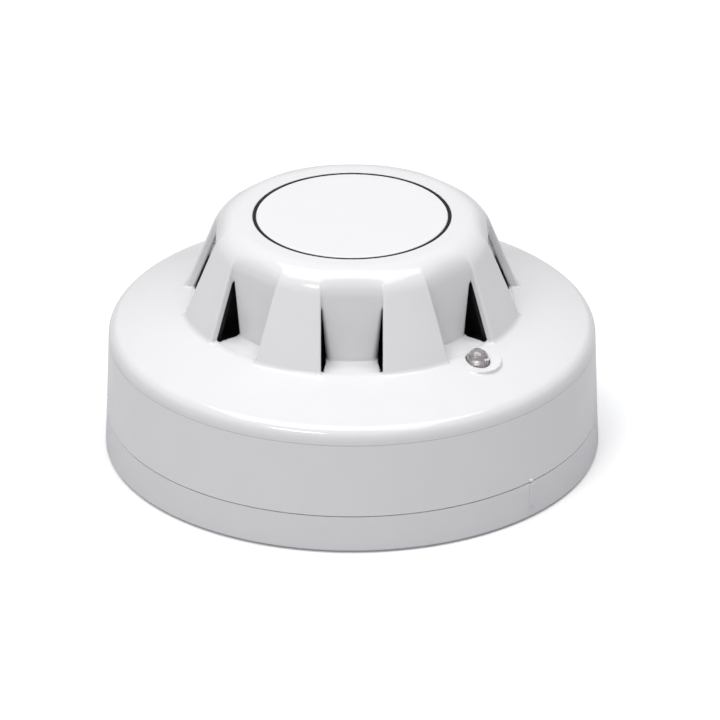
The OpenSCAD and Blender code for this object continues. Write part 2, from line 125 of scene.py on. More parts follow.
# %% The moulded skin group
def build_moulded_skin():
    tree, gin, gout = new_group(
        "moulded_skin",
        [("Grain size", "NodeSocketFloat", 3000.0), ("Sink size", "NodeSocketFloat", 60.0),
         ("Grain depth", "NodeSocketFloat", 0.3), ("Gloss", "NodeSocketFloat", 0.35),
         ("Gloss spread", "NodeSocketFloat", 0.08)],
        [("Height", "NodeSocketFloat"), ("Roughness", "NodeSocketFloat"), ("Mottle", "NodeSocketFloat")])
    place = node(tree, "ShaderNodeTexCoord").outputs["Object"]
    grain = node(tree, "ShaderNodeTexNoise", links={"Vector": place, "Scale": gin.outputs["Grain size"]},
                 Detail=2.0, Roughness=0.6).outputs["Fac"]
    sink = node(tree, "ShaderNodeTexNoise", links={"Vector": place, "Scale": gin.outputs["Sink size"]},
                Detail=1.0, Roughness=0.4).outputs["Fac"]
    fine = math_node(tree, "MULTIPLY", grain, gin.outputs["Grain depth"])
    tree.links.new(math_node(tree, "ADD", fine, sink), gout.inputs["Height"])
    patch = node(tree, "ShaderNodeTexNoise", links={"Vector": place}, Scale=140.0, Detail=4.0,
                 Roughness=0.65).outputs["Fac"]
    swing = math_node(tree, "MULTIPLY", math_node(tree, "SUBTRACT", patch, 0.5), gin.outputs["Gloss spread"])
    tree.links.new(math_node(tree, "ADD", swing, gin.outputs["Gloss"], clamp=True), gout.inputs["Roughness"])
    tree.links.new(patch, gout.inputs["Mottle"])
    return tree


moulded_skin = build_moulded_skin()
print("group:", moulded_skin.name, [s.name for s in moulded_skin.interface.items_tree])

# %% [markdown]
# ### Plastics
# One function mixes every plastic in the detector. Its colour drifts a little with the mottle, its
# roughness and bump come from the skin group, and the numbers that hold all over the surface are set on
# the shader itself.

# %% The plastic recipe
def plastic(name, colour, shade=0.97, gloss=0.35, spread=0.08, grain=3000.0, depth=0.3, bump=0.02):
    made = bpy.data.materials.new(name)
    made.use_nodes = True
    tree = made.node_tree
    shader = tree.nodes["Principled BSDF"]
    skin = node(tree, "ShaderNodeGroup", settings={"node_tree": moulded_skin})
    skin.inputs["Grain size"].default_value = grain
    skin.inputs["Grain depth"].default_value = depth
    skin.inputs["Gloss"].default_value = gloss
    skin.inputs["Gloss spread"].default_value = spread
    ramp = node(tree, "ShaderNodeValToRGB", links={"Fac": skin.outputs["Mottle"]})
    ramp.color_ramp.elements[0].position = 0.3
    ramp.color_ramp.elements[1].position = 0.7
    ramp.color_ramp.elements[0].color = [c * shade for c in colour] + [1.0]
    ramp.color_ramp.elements[1].color = list(colour) + [1.0]
    tree.links.new(ramp.outputs["Color"], shader.inputs["Base Color"])
    tree.links.new(skin.outputs["Roughness"], shader.inputs["Roughness"])
    relief = node(tree, "ShaderNodeBump", links={"Height": skin.outputs["Height"]}, Strength=bump,
                  Distance=0.0004)
    tree.links.new(relief.outputs["Normal"], shader.inputs["Normal"])
    return made


cover_white = plastic("cover_moulding_white", (0.80, 0.797, 0.806), shade=0.985, gloss=0.085, spread=0.03,
                      bump=0.04)
disc_white = plastic("disc_satin_white", (0.81, 0.805, 0.815), shade=0.99, gloss=0.42, spread=0.05, bump=0.10)
base_white = plastic("base_moulding_white", (0.775, 0.771, 0.782), shade=0.98, gloss=0.36, spread=0.06,
                     bump=0.10)
chamber_black = plastic("chamber_moulding_black", (0.012, 0.012, 0.013), gloss=0.6, bump=0.15)
seal_black = plastic("bedding_black", (0.006, 0.006, 0.007), gloss=0.75, bump=0.2)
print("plastics:", cover_white.name, disc_white.name, base_white.name, chamber_black.name)

# %% [markdown]
# ### The parting line
# The two halves of the cover's mould meet just under the rim, and leave a hair line there all the way
# round. It is too fine to model, so it is a narrow dip in the relief and a trace of dark tint, read
# from the height in the cover's own coordinates. That dark tint is painted shade: it stands in for
# the shadow in the line's fine groove. The group gives a mask that is 1 on the line.

# %% Parting line group
def build_parting_line():
    tree, gin, gout = new_group(
        "parting_line",
        [("Height above back", "NodeSocketFloat", 0.0231), ("Half width", "NodeSocketFloat", 0.00016)],
        [("Mask", "NodeSocketFloat")])
    place = node(tree, "ShaderNodeTexCoord").outputs["Object"]
    height = node(tree, "ShaderNodeSeparateXYZ", links={"Vector": place}).outputs["Z"]
    off = math_node(tree, "ABSOLUTE", math_node(tree, "SUBTRACT", height, gin.outputs["Height above back"]))
    share = math_node(tree, "DIVIDE", off, gin.outputs["Half width"])
    near = math_node(tree, "SUBTRACT", 1.0, share, clamp=True)
    tree.links.new(near, gout.inputs["Mask"])
    return tree


def add_parting_line_and_painted_shade(material, group):
    tree = material.node_tree
    shader = tree.nodes["Principled BSDF"]
    mask = node(tree, "ShaderNodeGroup", settings={"node_tree": group}).outputs["Mask"]
    colour = shader.inputs["Base Color"].links[0].from_socket
    # The darker colour mixed in on the line is painted shade for its fine groove; the inverted bump below is
    # the real dip.
    groove_shade_amount = math_node(tree, "MULTIPLY", mask, 0.45)
    painted_groove_shade = node(tree, "ShaderNodeMix", settings={"data_type": "RGBA"}, links={0: groove_shade_amount})
    tree.links.new(colour, painted_groove_shade.inputs[6])
    painted_groove_shade.inputs[7].default_value = (0.35, 0.35, 0.37, 1)
    tree.links.new(painted_groove_shade.outputs[2], shader.inputs["Base Color"])
    dip = node(tree, "ShaderNodeBump", settings={"invert": True}, links={"Height": mask}, Strength=0.5,
               Distance=0.0001)
    grain = shader.inputs["Normal"].links[0].from_node
    tree.links.new(dip.outputs["Normal"], grain.inputs["Normal"])


add_parting_line_and_painted_shade(cover_white, build_parting_line())
print("parting line added to", cover_white.name)

# %% [markdown]
# ## Metals and the clear lens
# The strips, plates and screws are stamped or turned, then plated. Rolling and turning leave fine
# parallel lines, and handling dulls the plating in patches. One group gives both effects, and each metal
# sets how strong they are.

# %% The worked metal group
def build_worked_metal():
    tree, gin, gout = new_group(
        "worked_metal",
        [("Line scale", "NodeSocketFloat", 1.0), ("Gloss", "NodeSocketFloat", 0.3),
         ("Gloss spread", "NodeSocketFloat", 0.2)],
        [("Height", "NodeSocketFloat"), ("Roughness", "NodeSocketFloat"), ("Tarnish", "NodeSocketFloat")])
    place = node(tree, "ShaderNodeTexCoord").outputs["Object"]
    squeeze = node(tree, "ShaderNodeMapping", links={"Vector": place}, Scale=(400.0, 6000.0, 400.0))
    lines = node(tree, "ShaderNodeTexNoise", links={"Vector": squeeze.outputs["Vector"],
                                                    "Scale": gin.outputs["Line scale"]}, Detail=2.0)
    patch = node(tree, "ShaderNodeTexNoise", links={"Vector": place}, Scale=350.0, Detail=4.0, Roughness=0.6)
    swing = math_node(tree, "MULTIPLY", math_node(tree, "SUBTRACT", patch.outputs["Fac"], 0.5),
                      gin.outputs["Gloss spread"])
    tree.links.new(lines.outputs["Fac"], gout.inputs["Height"])
    tree.links.new(math_node(tree, "ADD", swing, gin.outputs["Gloss"], clamp=True), gout.inputs["Roughness"])
    tree.links.new(patch.outputs["Fac"], gout.inputs["Tarnish"])
    return tree


worked_metal = build_worked_metal()


def metal(name, colour, dull, gloss=0.28, bump=0.15):
    made = bpy.data.materials.new(name)
    made.use_nodes = True
    tree = made.node_tree
    shader = tree.nodes["Principled BSDF"]
    work = node(tree, "ShaderNodeGroup", settings={"node_tree": worked_metal})
    work.inputs["Gloss"].default_value = gloss
    work.inputs["Gloss spread"].default_value = 0.2
    ramp = node(tree, "ShaderNodeValToRGB", links={"Fac": work.outputs["Tarnish"]})
    ramp.color_ramp.elements[0].position = 0.35
    ramp.color_ramp.elements[1].position = 0.62
    ramp.color_ramp.elements[0].color = list(dull) + [1.0]
    ramp.color_ramp.elements[1].color = list(colour) + [1.0]
    tree.links.new(ramp.outputs["Color"], shader.inputs["Base Color"])
    tree.links.new(work.outputs["Roughness"], shader.inputs["Roughness"])
    relief = node(tree, "ShaderNodeBump", links={"Height": work.outputs["Height"]}, Strength=bump,
                  Distance=0.00004)
    tree.links.new(relief.outputs["Normal"], shader.inputs["Normal"])
    shader.inputs["Metallic"].default_value = 1.0
    return made


steel_strip = metal("rolled_steel", (0.66, 0.66, 0.65), (0.50, 0.50, 0.49), gloss=0.32)
steel_plate = metal("plated_steel", (0.72, 0.72, 0.70), (0.55, 0.55, 0.54), gloss=0.26)
steel_screw = metal("nickel_screw", (0.74, 0.72, 0.68), (0.56, 0.54, 0.50), gloss=0.22)
brass = metal("plated_brass", (0.80, 0.68, 0.42), (0.62, 0.50, 0.28), gloss=0.25)
tin = metal("tinned_wire", (0.76, 0.76, 0.75), (0.60, 0.60, 0.60), gloss=0.35, bump=0.3)
print("metals:", [m.name for m in (steel_strip, steel_plate, steel_screw, brass, tin)])

# %% [markdown]
# The lamp is cast in clear epoxy, so its material is plain glass with a slightly uneven skin. Seen from
# outside, the bright and dark parts of the lamp are the metal inside it and the room around it.

# %% Clear epoxy
def clear_epoxy(name):
    made = bpy.data.materials.new(name)
    made.use_nodes = True
    tree = made.node_tree
    shader = tree.nodes["Principled BSDF"]
    skin = node(tree, "ShaderNodeGroup", settings={"node_tree": moulded_skin})
    skin.inputs["Sink size"].default_value = 400.0
    skin.inputs["Gloss"].default_value = 0.04
    skin.inputs["Gloss spread"].default_value = 0.03
    tree.links.new(skin.outputs["Roughness"], shader.inputs["Roughness"])
    relief = node(tree, "ShaderNodeBump", links={"Height": skin.outputs["Height"]}, Strength=0.05,
                  Distance=0.0002)
    tree.links.new(relief.outputs["Normal"], shader.inputs["Normal"])
    shader.inputs["Base Color"].default_value = (0.88, 0.82, 0.84, 1)
    shader.inputs["Metallic"].default_value = 0.0
    shader.inputs["Coat Weight"].default_value = 1.0
    shader.inputs["Coat Roughness"].default_value = 0.04
    shader.inputs["Transmission Weight"].default_value = 0.7
    shader.inputs["IOR"].default_value = 1.52
    return made


lens_epoxy = clear_epoxy("lens_epoxy")
print("lens:", lens_epoxy.name)

# %% [markdown]
# ### The circuit board's skin
# A board is glass cloth and epoxy under a green lacquer. Copper tracks lie beneath the lacquer and show
# as paler, slightly raised lines that run square to each other. Two brick patterns of different pitch
# make the tracks, and a noise field leaves some of them out. Small tinned dots are the vias.

# %% Board lacquer
def board_lacquer(name):
    made = bpy.data.materials.new(name)
    made.use_nodes = True
    tree = made.node_tree
    shader = tree.nodes["Principled BSDF"]
    place = node(tree, "ShaderNodeTexCoord").outputs["Object"]
    tracks = []
    for scale, turn, keep, seed in ((420.0, 0.0, 0.50, 3.0), (260.0, math.pi / 2, 0.52, 8.0)):
        spin = node(tree, "ShaderNodeMapping", links={"Vector": place}, Rotation=(0, 0, turn))
        brick = node(tree, "ShaderNodeTexBrick", links={"Vector": spin.outputs["Vector"]}, Scale=scale)
        brick.inputs["Mortar Size"].default_value = 0.07
        brick.inputs["Mortar Smooth"].default_value = 0.1
        shift = node(tree, "ShaderNodeMapping", links={"Vector": place}, Location=(seed, seed, 0))
        some = node(tree, "ShaderNodeTexNoise", links={"Vector": shift.outputs["Vector"]}, Scale=150.0,
                Detail=1.0)
        shown = math_node(tree, "GREATER_THAN", some.outputs["Fac"], keep)
        tracks.append(math_node(tree, "MULTIPLY", brick.outputs["Fac"], shown))
    track = math_node(tree, "MAXIMUM", tracks[0], tracks[1])
    cell = node(tree, "ShaderNodeTexVoronoi", links={"Vector": place}, Scale=230.0)
    via = math_node(tree, "LESS_THAN", cell.outputs["Distance"], 0.085)
    cloth = node(tree, "ShaderNodeTexNoise", links={"Vector": place}, Scale=1400.0, Detail=2.0)
    green = node(tree, "ShaderNodeMix", settings={"data_type": "RGBA"}, links={0: track})
    green.inputs[6].default_value = (0.012, 0.085, 0.036, 1)
    green.inputs[7].default_value = (0.035, 0.21, 0.085, 1)
    final = node(tree, "ShaderNodeMix", settings={"data_type": "RGBA"}, links={0: via})
    tree.links.new(green.outputs[2], final.inputs[6])
    final.inputs[7].default_value = (0.62, 0.62, 0.60, 1)
    tree.links.new(final.outputs[2], shader.inputs["Base Color"])
    gloss = math_node(tree, "ADD", math_node(tree, "MULTIPLY", cloth.outputs["Fac"], 0.2), 0.18)
    tree.links.new(gloss, shader.inputs["Roughness"])
    height = math_node(tree, "ADD", math_node(tree, "MULTIPLY", cloth.outputs["Fac"], 0.15), track)
    relief = node(tree, "ShaderNodeBump", links={"Height": height}, Strength=0.4, Distance=0.00005)
    tree.links.new(relief.outputs["Normal"], shader.inputs["Normal"])
    return made


board_green = board_lacquer("board_lacquer")
chassis_white = plastic("chassis_moulding", (0.74, 0.735, 0.72), gloss=0.45, bump=0.15)
chip_black = plastic("chip_epoxy", (0.022, 0.022, 0.024), shade=0.8, gloss=0.5, grain=9000.0, bump=0.2)
sleeve_blue = plastic("cap_shrink_sleeve", (0.02, 0.03, 0.09), gloss=0.28, grain=1500.0, bump=0.1)
part_tan = plastic("part_ceramic", (0.30, 0.22, 0.15), shade=0.8, gloss=0.4, grain=6000.0, bump=0.15)
post_plastic = plastic("post_moulding", (0.72, 0.71, 0.67), gloss=0.4, bump=0.15)
bead_epoxy = plastic("bead_dip", (0.02, 0.02, 0.024), gloss=0.2, grain=1200.0, depth=0.8, bump=0.25)
mesh_dark = plastic("mesh_coating", (0.018, 0.018, 0.02), gloss=0.5, grain=9000.0, bump=0.2)
print("more materials:", board_green.name, chassis_white.name, bead_epoxy.name)

# %% [markdown]
# ## Dressing the frame's own parts
# Flat moulded and stamped parts are right as they come from the frame. They keep their meshes and get
# the materials above, by the slot that each one has in the record. A narrow bevel takes the hard edge off
# those that show, as a real mould or press does.

# %% Materials and edges for the frame's parts
FINISH = {"cover_white": cover_white, "disc_white": disc_white, "base_white": base_white,
          "chassis_white": chassis_white, "spring_steel": steel_strip, "clamp_steel": steel_plate,
          "screw_steel": steel_screw, "contact_brass": brass, "board_green": board_green,
          "chip_black": chip_black, "cap_sleeve": sleeve_blue, "part_tan": part_tan,
          "post_plastic": post_plastic, "lead_wire": tin, "bead_epoxy": bead_epoxy,
          "chamber_black": chamber_black, "mesh_dark": mesh_dark, "lens_clear": lens_epoxy,
          "seal_black": seal_black}
for entry in frame["record"]["subparts"]:
    mesh = frame["nodes"][entry["node"]].data
    mesh.materials.clear()
    mesh.materials.append(FINISH[entry["material_slot"]])


def soften(name, width):
    edge = frame["nodes"][name].modifiers.new("edge", "BEVEL")
    edge.width = width * MM
    edge.segments = 2
    edge.limit_method = "ANGLE"
    edge.angle_limit = math.radians(40)
    edge.use_clamp_overlap = True


edge_widths = [("earth_strip", 0.06), ("chamber_tray", 0.15), ("filter_capacitor", 0.1)]
edge_widths += [(f"clamp_plate_{i}", 0.12) for i in range(1, 6)]
edge_widths += [(f"contact_spring_{i}", 0.06) for i in range(1, 5)]
for name, width in edge_widths:
    soften(name, width)

# %% [markdown]
# ## The cover
# The cover is one thin moulding: skirt, rounded rim, sloping shoulder and a nose whose eight ribs are
# hollow. Between the ribs, recesses step back to upright panels, and air goes in sideways through the
# gaps beside each panel. Cutting such a shape from blocks and rounding every edge afterwards breaks
# easily. It is simpler to describe it by distance: a function gives how far any point is from the
# surface, negative inside the plastic. Distances combine with rounded joins, so each edge gets the small
# radius that a moulding has, and the surface is then the place where the distance is zero.

# %% Distances and rounded joins
def polygon_distance(px, py, points):
    """Signed distance from each point to a closed outline, negative inside."""
    points = np.asarray(points, float)
    best = np.full(px.shape, 1e9)
    side = np.zeros(px.shape, bool)
    for (ax, ay), (bx, by) in zip(points, np.roll(points, -1, axis=0)):
        ex, ey = bx - ax, by - ay
        wx, wy = px - ax, py - ay
        t = np.clip((wx * ex + wy * ey) / (ex * ex + ey * ey), 0, 1)
        best = np.minimum(best, (wx - ex * t) ** 2 + (wy - ey * t) ** 2)
        if ay != by:
            crosses = (ay > py) != (by > py)
            side ^= crosses & (px < ex * (py - ay) / ey + ax)
    return np.where(side, -1, 1) * np.sqrt(best)


def both(a, b, radius):
    """The part common to two shapes, with the edge where they meet rounded."""
    corner = np.hypot(np.maximum(a + radius, 0), np.maximum(b + radius, 0))
    return np.minimum(np.maximum(a, b), -radius) + corner


def either(a, b, radius):
    """Two shapes joined, with a fillet where they meet."""
    return -both(-a, -b, radius)


def without(a, b, radius):
    return both(a, -b, radius)


def arc(cr, cz, radius, start, end, steps):
    angles = [math.radians(start + (end - start) * i / steps) for i in range(steps + 1)]
    return [(cr + radius * math.cos(a), cz + radius * math.sin(a)) for a in angles]


print("distance of (2, 0) from a unit square:",
      polygon_distance(np.array([2.0]), np.array([0.5]), [(0, 0), (1, 0), (1, 1), (0, 1)]))

# %% [markdown]
# ### The cover's section
# Two outlines, drawn as half sections, give the outside and the hollow. The rim is an arc of 3 mm radius,
# the shoulder falls at 18.6 degrees, and the ribs lean in until they roll over into the flat top.

# %% Sections
RIM = 3.0         # radius of the rounded rim
RIB_WALL = 1.7    # wall of the hollow ribs
VENT_DEEP = 6.9   # depth of a recess at its floor
SHOULDER = 18.6
DOME = 6.5
foot_r = base_r * 0.686
skirt_top = top_z * 0.476
rim_end = (skirt_r - RIM + RIM * math.sin(math.radians(SHOULDER)),
           skirt_top + RIM * math.cos(math.radians(SHOULDER)))
floor_z = rim_end[1] + (rim_end[0] - foot_r) * math.tan(math.radians(SHOULDER))
panel_r = foot_r - VENT_DEEP
lean = math.atan((foot_r - panel_r - 0.7) / (top_z - 3 - floor_z))
dome_z = top_z - DOME
dome_r = foot_r - (dome_z - floor_z) * math.tan(lean) - DOME / math.cos(lean)
seat_r = disc_r + 0.7
seat_z = top_z - 1.2
ceiling = top_z - 2.8
inner_r = panel_r - 1.5
ledge_z = 10.85

outside = ([(0.0, cover_z0), (seam_r, cover_z0)]
           + arc(skirt_r - RIM, skirt_top, RIM, 0, 90 - SHOULDER, 14)
           + arc(foot_r + 1.146, floor_z + 1.197, 1.5, -90 - SHOULDER, -180 + math.degrees(lean), 6)
           + arc(dome_r, dome_z, DOME, math.degrees(lean), 90, 18)
           + [(0.0, top_z)])
hollow = [(0.0, cover_z0 - 3), (wall_r + 0.4, cover_z0 - 3), (wall_r + 0.4, ledge_z), (wall_r, ledge_z),
          (wall_r, skirt_top - 0.4), (rim_end[0] - 1, rim_end[1] - 1.6), (foot_r - 0.5, floor_z - 1.8),
          (inner_r, floor_z - 1.8), (inner_r, floor_z),
          (foot_r - RIB_WALL / math.cos(lean), floor_z),
          (foot_r - (top_z - 7 - floor_z) * math.tan(lean) - RIB_WALL / math.cos(lean), top_z - 7)] \
    + arc(panel_r - 6, top_z - 5.17, 4.5, 0, 30, 4) + [(panel_r - 3.2, ceiling), (0.0, ceiling)]
print(f"nose foot at r {foot_r:.2f}, z {floor_z:.2f}; ribs lean {math.degrees(lean):.1f} degrees")

# %% [markdown]
# ### One recess
# A recess is a parallel slot with a flat floor and a back that rolls over at the top. Its panel is a
# little narrower than the slot at the floor and as wide as the slot at the top, which leaves a long
# wedge-shaped slit each side. The panel's upright edges have a generous radius.

# %% Recess, panel and lamp dish as distances
VENT_HALF = 6.15
PANEL_HALF = 5.15
ROLL = 6.0
roll_z = top_z - 5.17
lamp_at = foot_r + 1.2
open_r = foot_r - RIB_WALL / math.cos(lean) - 0.15
lamp_r = (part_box("alarm_led")[1].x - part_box("alarm_led")[0].x) / 2 / MM

recess = ([(panel_r, floor_z)] + arc(panel_r - ROLL, roll_z, ROLL, 0, 58, 16)
          + [(panel_r + 1, top_z + 2), (foot_r + 12, top_z + 2), (foot_r + 12, floor_z)])
tongue = [(inner_r - 3, -PANEL_HALF), (panel_r - 1, -PANEL_HALF), (foot_r - 0.6, -VENT_HALF + 0.1),
          (foot_r - 0.6, VENT_HALF - 0.1), (panel_r - 1, PANEL_HALF), (inner_r - 3, PANEL_HALF)]
slant = math.radians(SHOULDER)
DISH_R, DISH_DEEP = 3.75, 0.5
dish_ball = (DISH_R ** 2 + DISH_DEEP ** 2) / (2 * DISH_DEEP)
dish_at = (lamp_at + math.sin(slant) * (dish_ball - DISH_DEEP),
           floor_z - 1.2 * math.tan(slant) + math.cos(slant) * (dish_ball - DISH_DEEP))


def cover_distance(x, y, z, lamp=False):
    """Distance to the cover in one eighth of it, with the recess on the x axis."""
    r = np.hypot(x, y)
    shell = without(polygon_distance(r, z, outside), polygon_distance(r, z, hollow), 0.25)
    seat = both(r - seat_r, seat_z - z, 0.1)
    shell = without(shell, seat, 0.12)
    back = polygon_distance(x, z, recess)
    body = without(shell, both(back, np.abs(y) - VENT_HALF, 0.35), 0.42)
    gap = both(r - open_r, -polygon_distance(x, y, tongue), 0.1)
    body = without(body, both(gap, z - (floor_z + 0.12), 0.05), 0.15)
    widen = np.clip((z - floor_z) / (roll_z + 1.0 - floor_z), 0, 1.1)
    half = PANEL_HALF + (VENT_HALF + 0.15 - PANEL_HALF) * widen
    edge = 1.4 - 1.2 * np.clip(widen, 0, 1)
    plan = both(np.abs(y) - half, np.maximum(-back, x - panel_r), edge)
    panel = both(both(plan, (panel_r - 1.7) - x, 0.3), np.maximum(z - (roll_z + 0.6), floor_z - 0.9 - z), 0.1)
    body = either(body, panel, np.where(z < floor_z + 4, 0.5, 0.0))
    if lamp:
        rho = np.hypot(x - lamp_at, y)
        boss = np.maximum(rho - 4.8, np.abs(z - (floor_z - 2.4)) - 1.2)
        body = either(body, boss, 0.3)
        dish = np.sqrt((x - dish_at[0]) ** 2 + y ** 2 + (z - dish_at[1]) ** 2) - dish_ball
        dish = np.maximum(dish, np.maximum(rho - 4.4, z - (floor_z + 1.2)))
        body = without(body, dish, 0.45)
        body = without(body, rho - (lamp_r + 0.15), 0.2)
    return body


print("plastic at the rim:", cover_distance(np.array([48.0]), np.array([0.0]), np.array([24.0])))

# %% [markdown]
# ### From distance to mesh
# The distance is sampled on a grid of angle, radius and height, fine where the shape is busy and coarse on
# the plain skirt. Wherever the sign changes inside a cell, the cell gets one vertex, and neighbouring
# cells are joined by quads: a surface net. Each vertex is then slid along the distance's slope until it
# lies on the surface exactly. The eight sectors are equal, but for the one with the lamp's dish.

# %% Surface net
def steps(*spans):
    parts = [np.arange(a, b - 1e-9, s) for a, b, s in spans]
    return np.concatenate(parts + [[spans[-1][1]]])


def surface_net(field, angle, radius, height):
    """Vertices (angle, radius, height) and quads of the zero surface; the angle axis closes on itself."""
    n = len(angle)
    inside = field < 0
    wrap = np.concatenate([inside, inside[:1]])
    count = sum(wrap[a:a + n, b:b + len(radius) - 1, c:c + len(height) - 1].astype(np.int8)
                for a in (0, 1) for b in (0, 1) for c in (0, 1))
    ci, cj, ck = np.nonzero((count > 0) & (count < 8))
    index = np.full(count.shape, -1, np.int32)
    index[ci, cj, ck] = np.arange(len(ci))
    turn = 2 * math.pi / n
    total, hits = np.zeros((len(ci), 3)), np.zeros(len(ci))
    corners = [(a, b, c) for a in (0, 1) for b in (0, 1) for c in (0, 1)]
    for p in corners:
        for axis in range(3):
            if p[axis]:
                continue
            q = tuple(v + (k == axis) for k, v in enumerate(p))
            fp = field[(ci + p[0]) % n, cj + p[1], ck + p[2]]
            fq = field[(ci + q[0]) % n, cj + q[1], ck + q[2]]
            cut = (fp < 0) != (fq < 0)
            t = np.where(cut, fp / np.where(cut, fp - fq, 1), 0)
            a = angle[0] + (ci + p[0] + t * (axis == 0)) * turn
            r = radius[cj + p[1]] + t * (axis == 1) * (radius[cj + q[1]] - radius[cj + p[1]])
            h = height[ck + p[2]] + t * (axis == 2) * (height[ck + q[2]] - height[ck + p[2]])
            total += np.stack([a, r, h], 1) * cut[:, None]
            hits += cut
    verts = total / hits[:, None]
    quads = []
    for axis in range(3):
        if axis == 0:
            low, high = inside[:, 1:-1, 1:-1], np.roll(inside, -1, 0)[:, 1:-1, 1:-1]
            i, j, k = np.nonzero(low != high)
            out = low[i, j, k]
            j, k = j + 1, k + 1
            ring = [(i, j - 1, k - 1), (i, j, k - 1), (i, j, k), (i, j - 1, k)]
        elif axis == 1:
            low, high = inside[:, :-1, 1:-1], inside[:, 1:, 1:-1]
            i, j, k = np.nonzero(low != high)
            out = low[i, j, k]
            k = k + 1
            ring = [((i - 1) % n, j, k - 1), ((i - 1) % n, j, k), (i, j, k), (i, j, k - 1)]
        else:
            low, high = inside[:, 1:-1, :-1], inside[:, 1:-1, 1:]
            i, j, k = np.nonzero(low != high)
            out = low[i, j, k]
            j = j + 1
            ring = [((i - 1) % n, j - 1, k), (i, j - 1, k), (i, j, k), ((i - 1) % n, j, k)]
        q = np.stack([index[c] for c in ring], 1)
        q[out] = q[out][:, ::-1]
        quads.append(q[(q >= 0).all(1)])
    return verts, np.concatenate(quads)


print("grid helper:", len(steps((0, 1, 0.25), (1, 3, 0.5))), "steps in a sample")

# %% [markdown]
# ### Sliding the vertices on to the surface
# The slope of the distance, taken by small differences, points straight away from the surface. It serves
# twice: to move each vertex, and as the shading normal, which keeps the big smooth faces free of facets.

# %% Slope and settling
def in_sector(points, first):
    """Points turned into the local frame of their sector, and the sector of each."""
    a = np.arctan2(points[:, 1], points[:, 0]) - first
    sector = np.floor(a / (2 * math.pi / VENTS) + 0.5)
    a = a - sector * 2 * math.pi / VENTS
    r = np.hypot(points[:, 0], points[:, 1])
    return r * np.cos(a), r * np.sin(a), points[:, 2], sector.astype(int) % VENTS


def cover_field(points):
    x, y, z, sector = in_sector(points, FRONT)
    lamp = sector == 1
    out = cover_distance(x, y, z)
    out[lamp] = cover_distance(x[lamp], y[lamp], z[lamp], lamp=True)
    return out


def slope(field, points, step=0.01):
    here = field(points)
    grad = np.stack([field(points + step * e) - here for e in np.eye(3)], 1) / step
    length = np.linalg.norm(grad, axis=1, keepdims=True)
    return here, grad / np.maximum(length, 1e-6), length[:, 0]


def settle(field, points, rounds=3, reach=0.25):
    for _ in range(rounds):
        here, direction, length = slope(field, points)
        points = points - direction * np.clip(here / np.maximum(length, 0.5), -reach, reach)[:, None]
    return points


print("slope test:", slope(cover_field, np.array([[0.0, -49.5, 15.0]]))[1])

# %% [markdown]
# ### Meshing the cover
# The plain sector and the lamp's sector are each sampled once, and the plain one is used seven times, as the
# moulding repeats. The first helper makes a mesh piece from points in millimetres, here and later on.

# %% Mesh the cover
def mesh_from(name, verts, faces, material):
    """A smooth-shaded piece from points in millimetres."""
    mesh = bpy.data.meshes.new(name)
    points = [tuple(v) for v in np.asarray(verts) * MM]
    mesh.from_pydata(points, [], [tuple(int(i) for i in f) for f in faces])
    mesh.validate()
    mesh.update()
    mesh.polygons.foreach_set("use_smooth", [True] * len(mesh.polygons))
    thing = bpy.data.objects.new(name, mesh)
    bpy.context.scene.collection.objects.link(thing)
    mesh.materials.append(material)
    return thing


def build_cover(per=64):
    """Points and quads of the whole cover, with so many grid steps round each sector."""
    radius = steps((1, 17, 4), (17, 19.4, 0.8), (19.4, 20.8, 0.17), (20.8, 24, 0.5), (24, 40.5, 0.3),
                   (40.5, 44, 0.5), (44, 50.4, 0.32))
    height = steps((7, 8.5, 0.16), (8.5, 10.5, 0.5), (10.5, 11.3, 0.2), (11.3, 22.5, 1.4), (22.5, 47, 0.3),
                   (47, 50.5, 0.17))
    angle = -math.pi / VENTS + np.arange(per) * 2 * math.pi / VENTS / per
    x = radius[None, :, None] * np.cos(angle)[:, None, None]
    y = radius[None, :, None] * np.sin(angle)[:, None, None]
    x, y, z = np.broadcast_arrays(x, y, height[None, None, :])
    plain = cover_distance(x, y, z).astype(np.float32)
    lamp = cover_distance(x, y, z, lamp=True).astype(np.float32)
    field = np.concatenate([lamp if s == 1 else plain for s in range(VENTS)])
    angles = FRONT - math.pi / VENTS + np.arange(per * VENTS) * 2 * math.pi / VENTS / per
    verts, quads = surface_net(field, angles, radius, height)
    points = np.stack([verts[:, 1] * np.cos(verts[:, 0]), verts[:, 1] * np.sin(verts[:, 0]), verts[:, 2]], 1)
    return settle(cover_field, points), quads


cover_points, cover_quads = build_cover(per=64)
cover = mesh_from("cover_moulding", cover_points, cover_quads, cover_white)
print("cover:", len(cover_points), "vertices,", len(cover_quads), "quads")

# %% [markdown]
# ### Fewer faces where nothing happens
# The grid spends as many faces on the plain skirt as on the ribs. A decimate pass merges faces where the
# surface is flat or turns slowly, and keeps them on the fillets. The vertices are settled once more, and
# the slope of the distance becomes their normals, so the shading stays as smooth as the moulding.

# %% Thin the mesh and set its normals
def thin(thing, ratio):
    step = thing.modifiers.new("thin", "DECIMATE")
    step.ratio = ratio
    graph = bpy.context.evaluated_depsgraph_get()
    mesh = bpy.data.meshes.new_from_object(thing.evaluated_get(graph))
    thing.modifiers.clear()
    old, thing.data = thing.data, mesh
    bpy.data.meshes.remove(old)
    return thing


def settle_mesh(thing, field):
    mesh = thing.data
    co = np.zeros(len(mesh.vertices) * 3)
    mesh.vertices.foreach_get("co", co)
    points = settle(field, co.reshape(-1, 3) / MM, rounds=2, reach=0.1)
    mesh.vertices.foreach_set("co", (points * MM).ravel())
    mesh.update()
    mesh.polygons.foreach_set("use_smooth", [True] * len(mesh.polygons))
    mesh.normals_split_custom_set_from_vertices(slope(field, points, step=0.02)[1].tolist())
    return thing


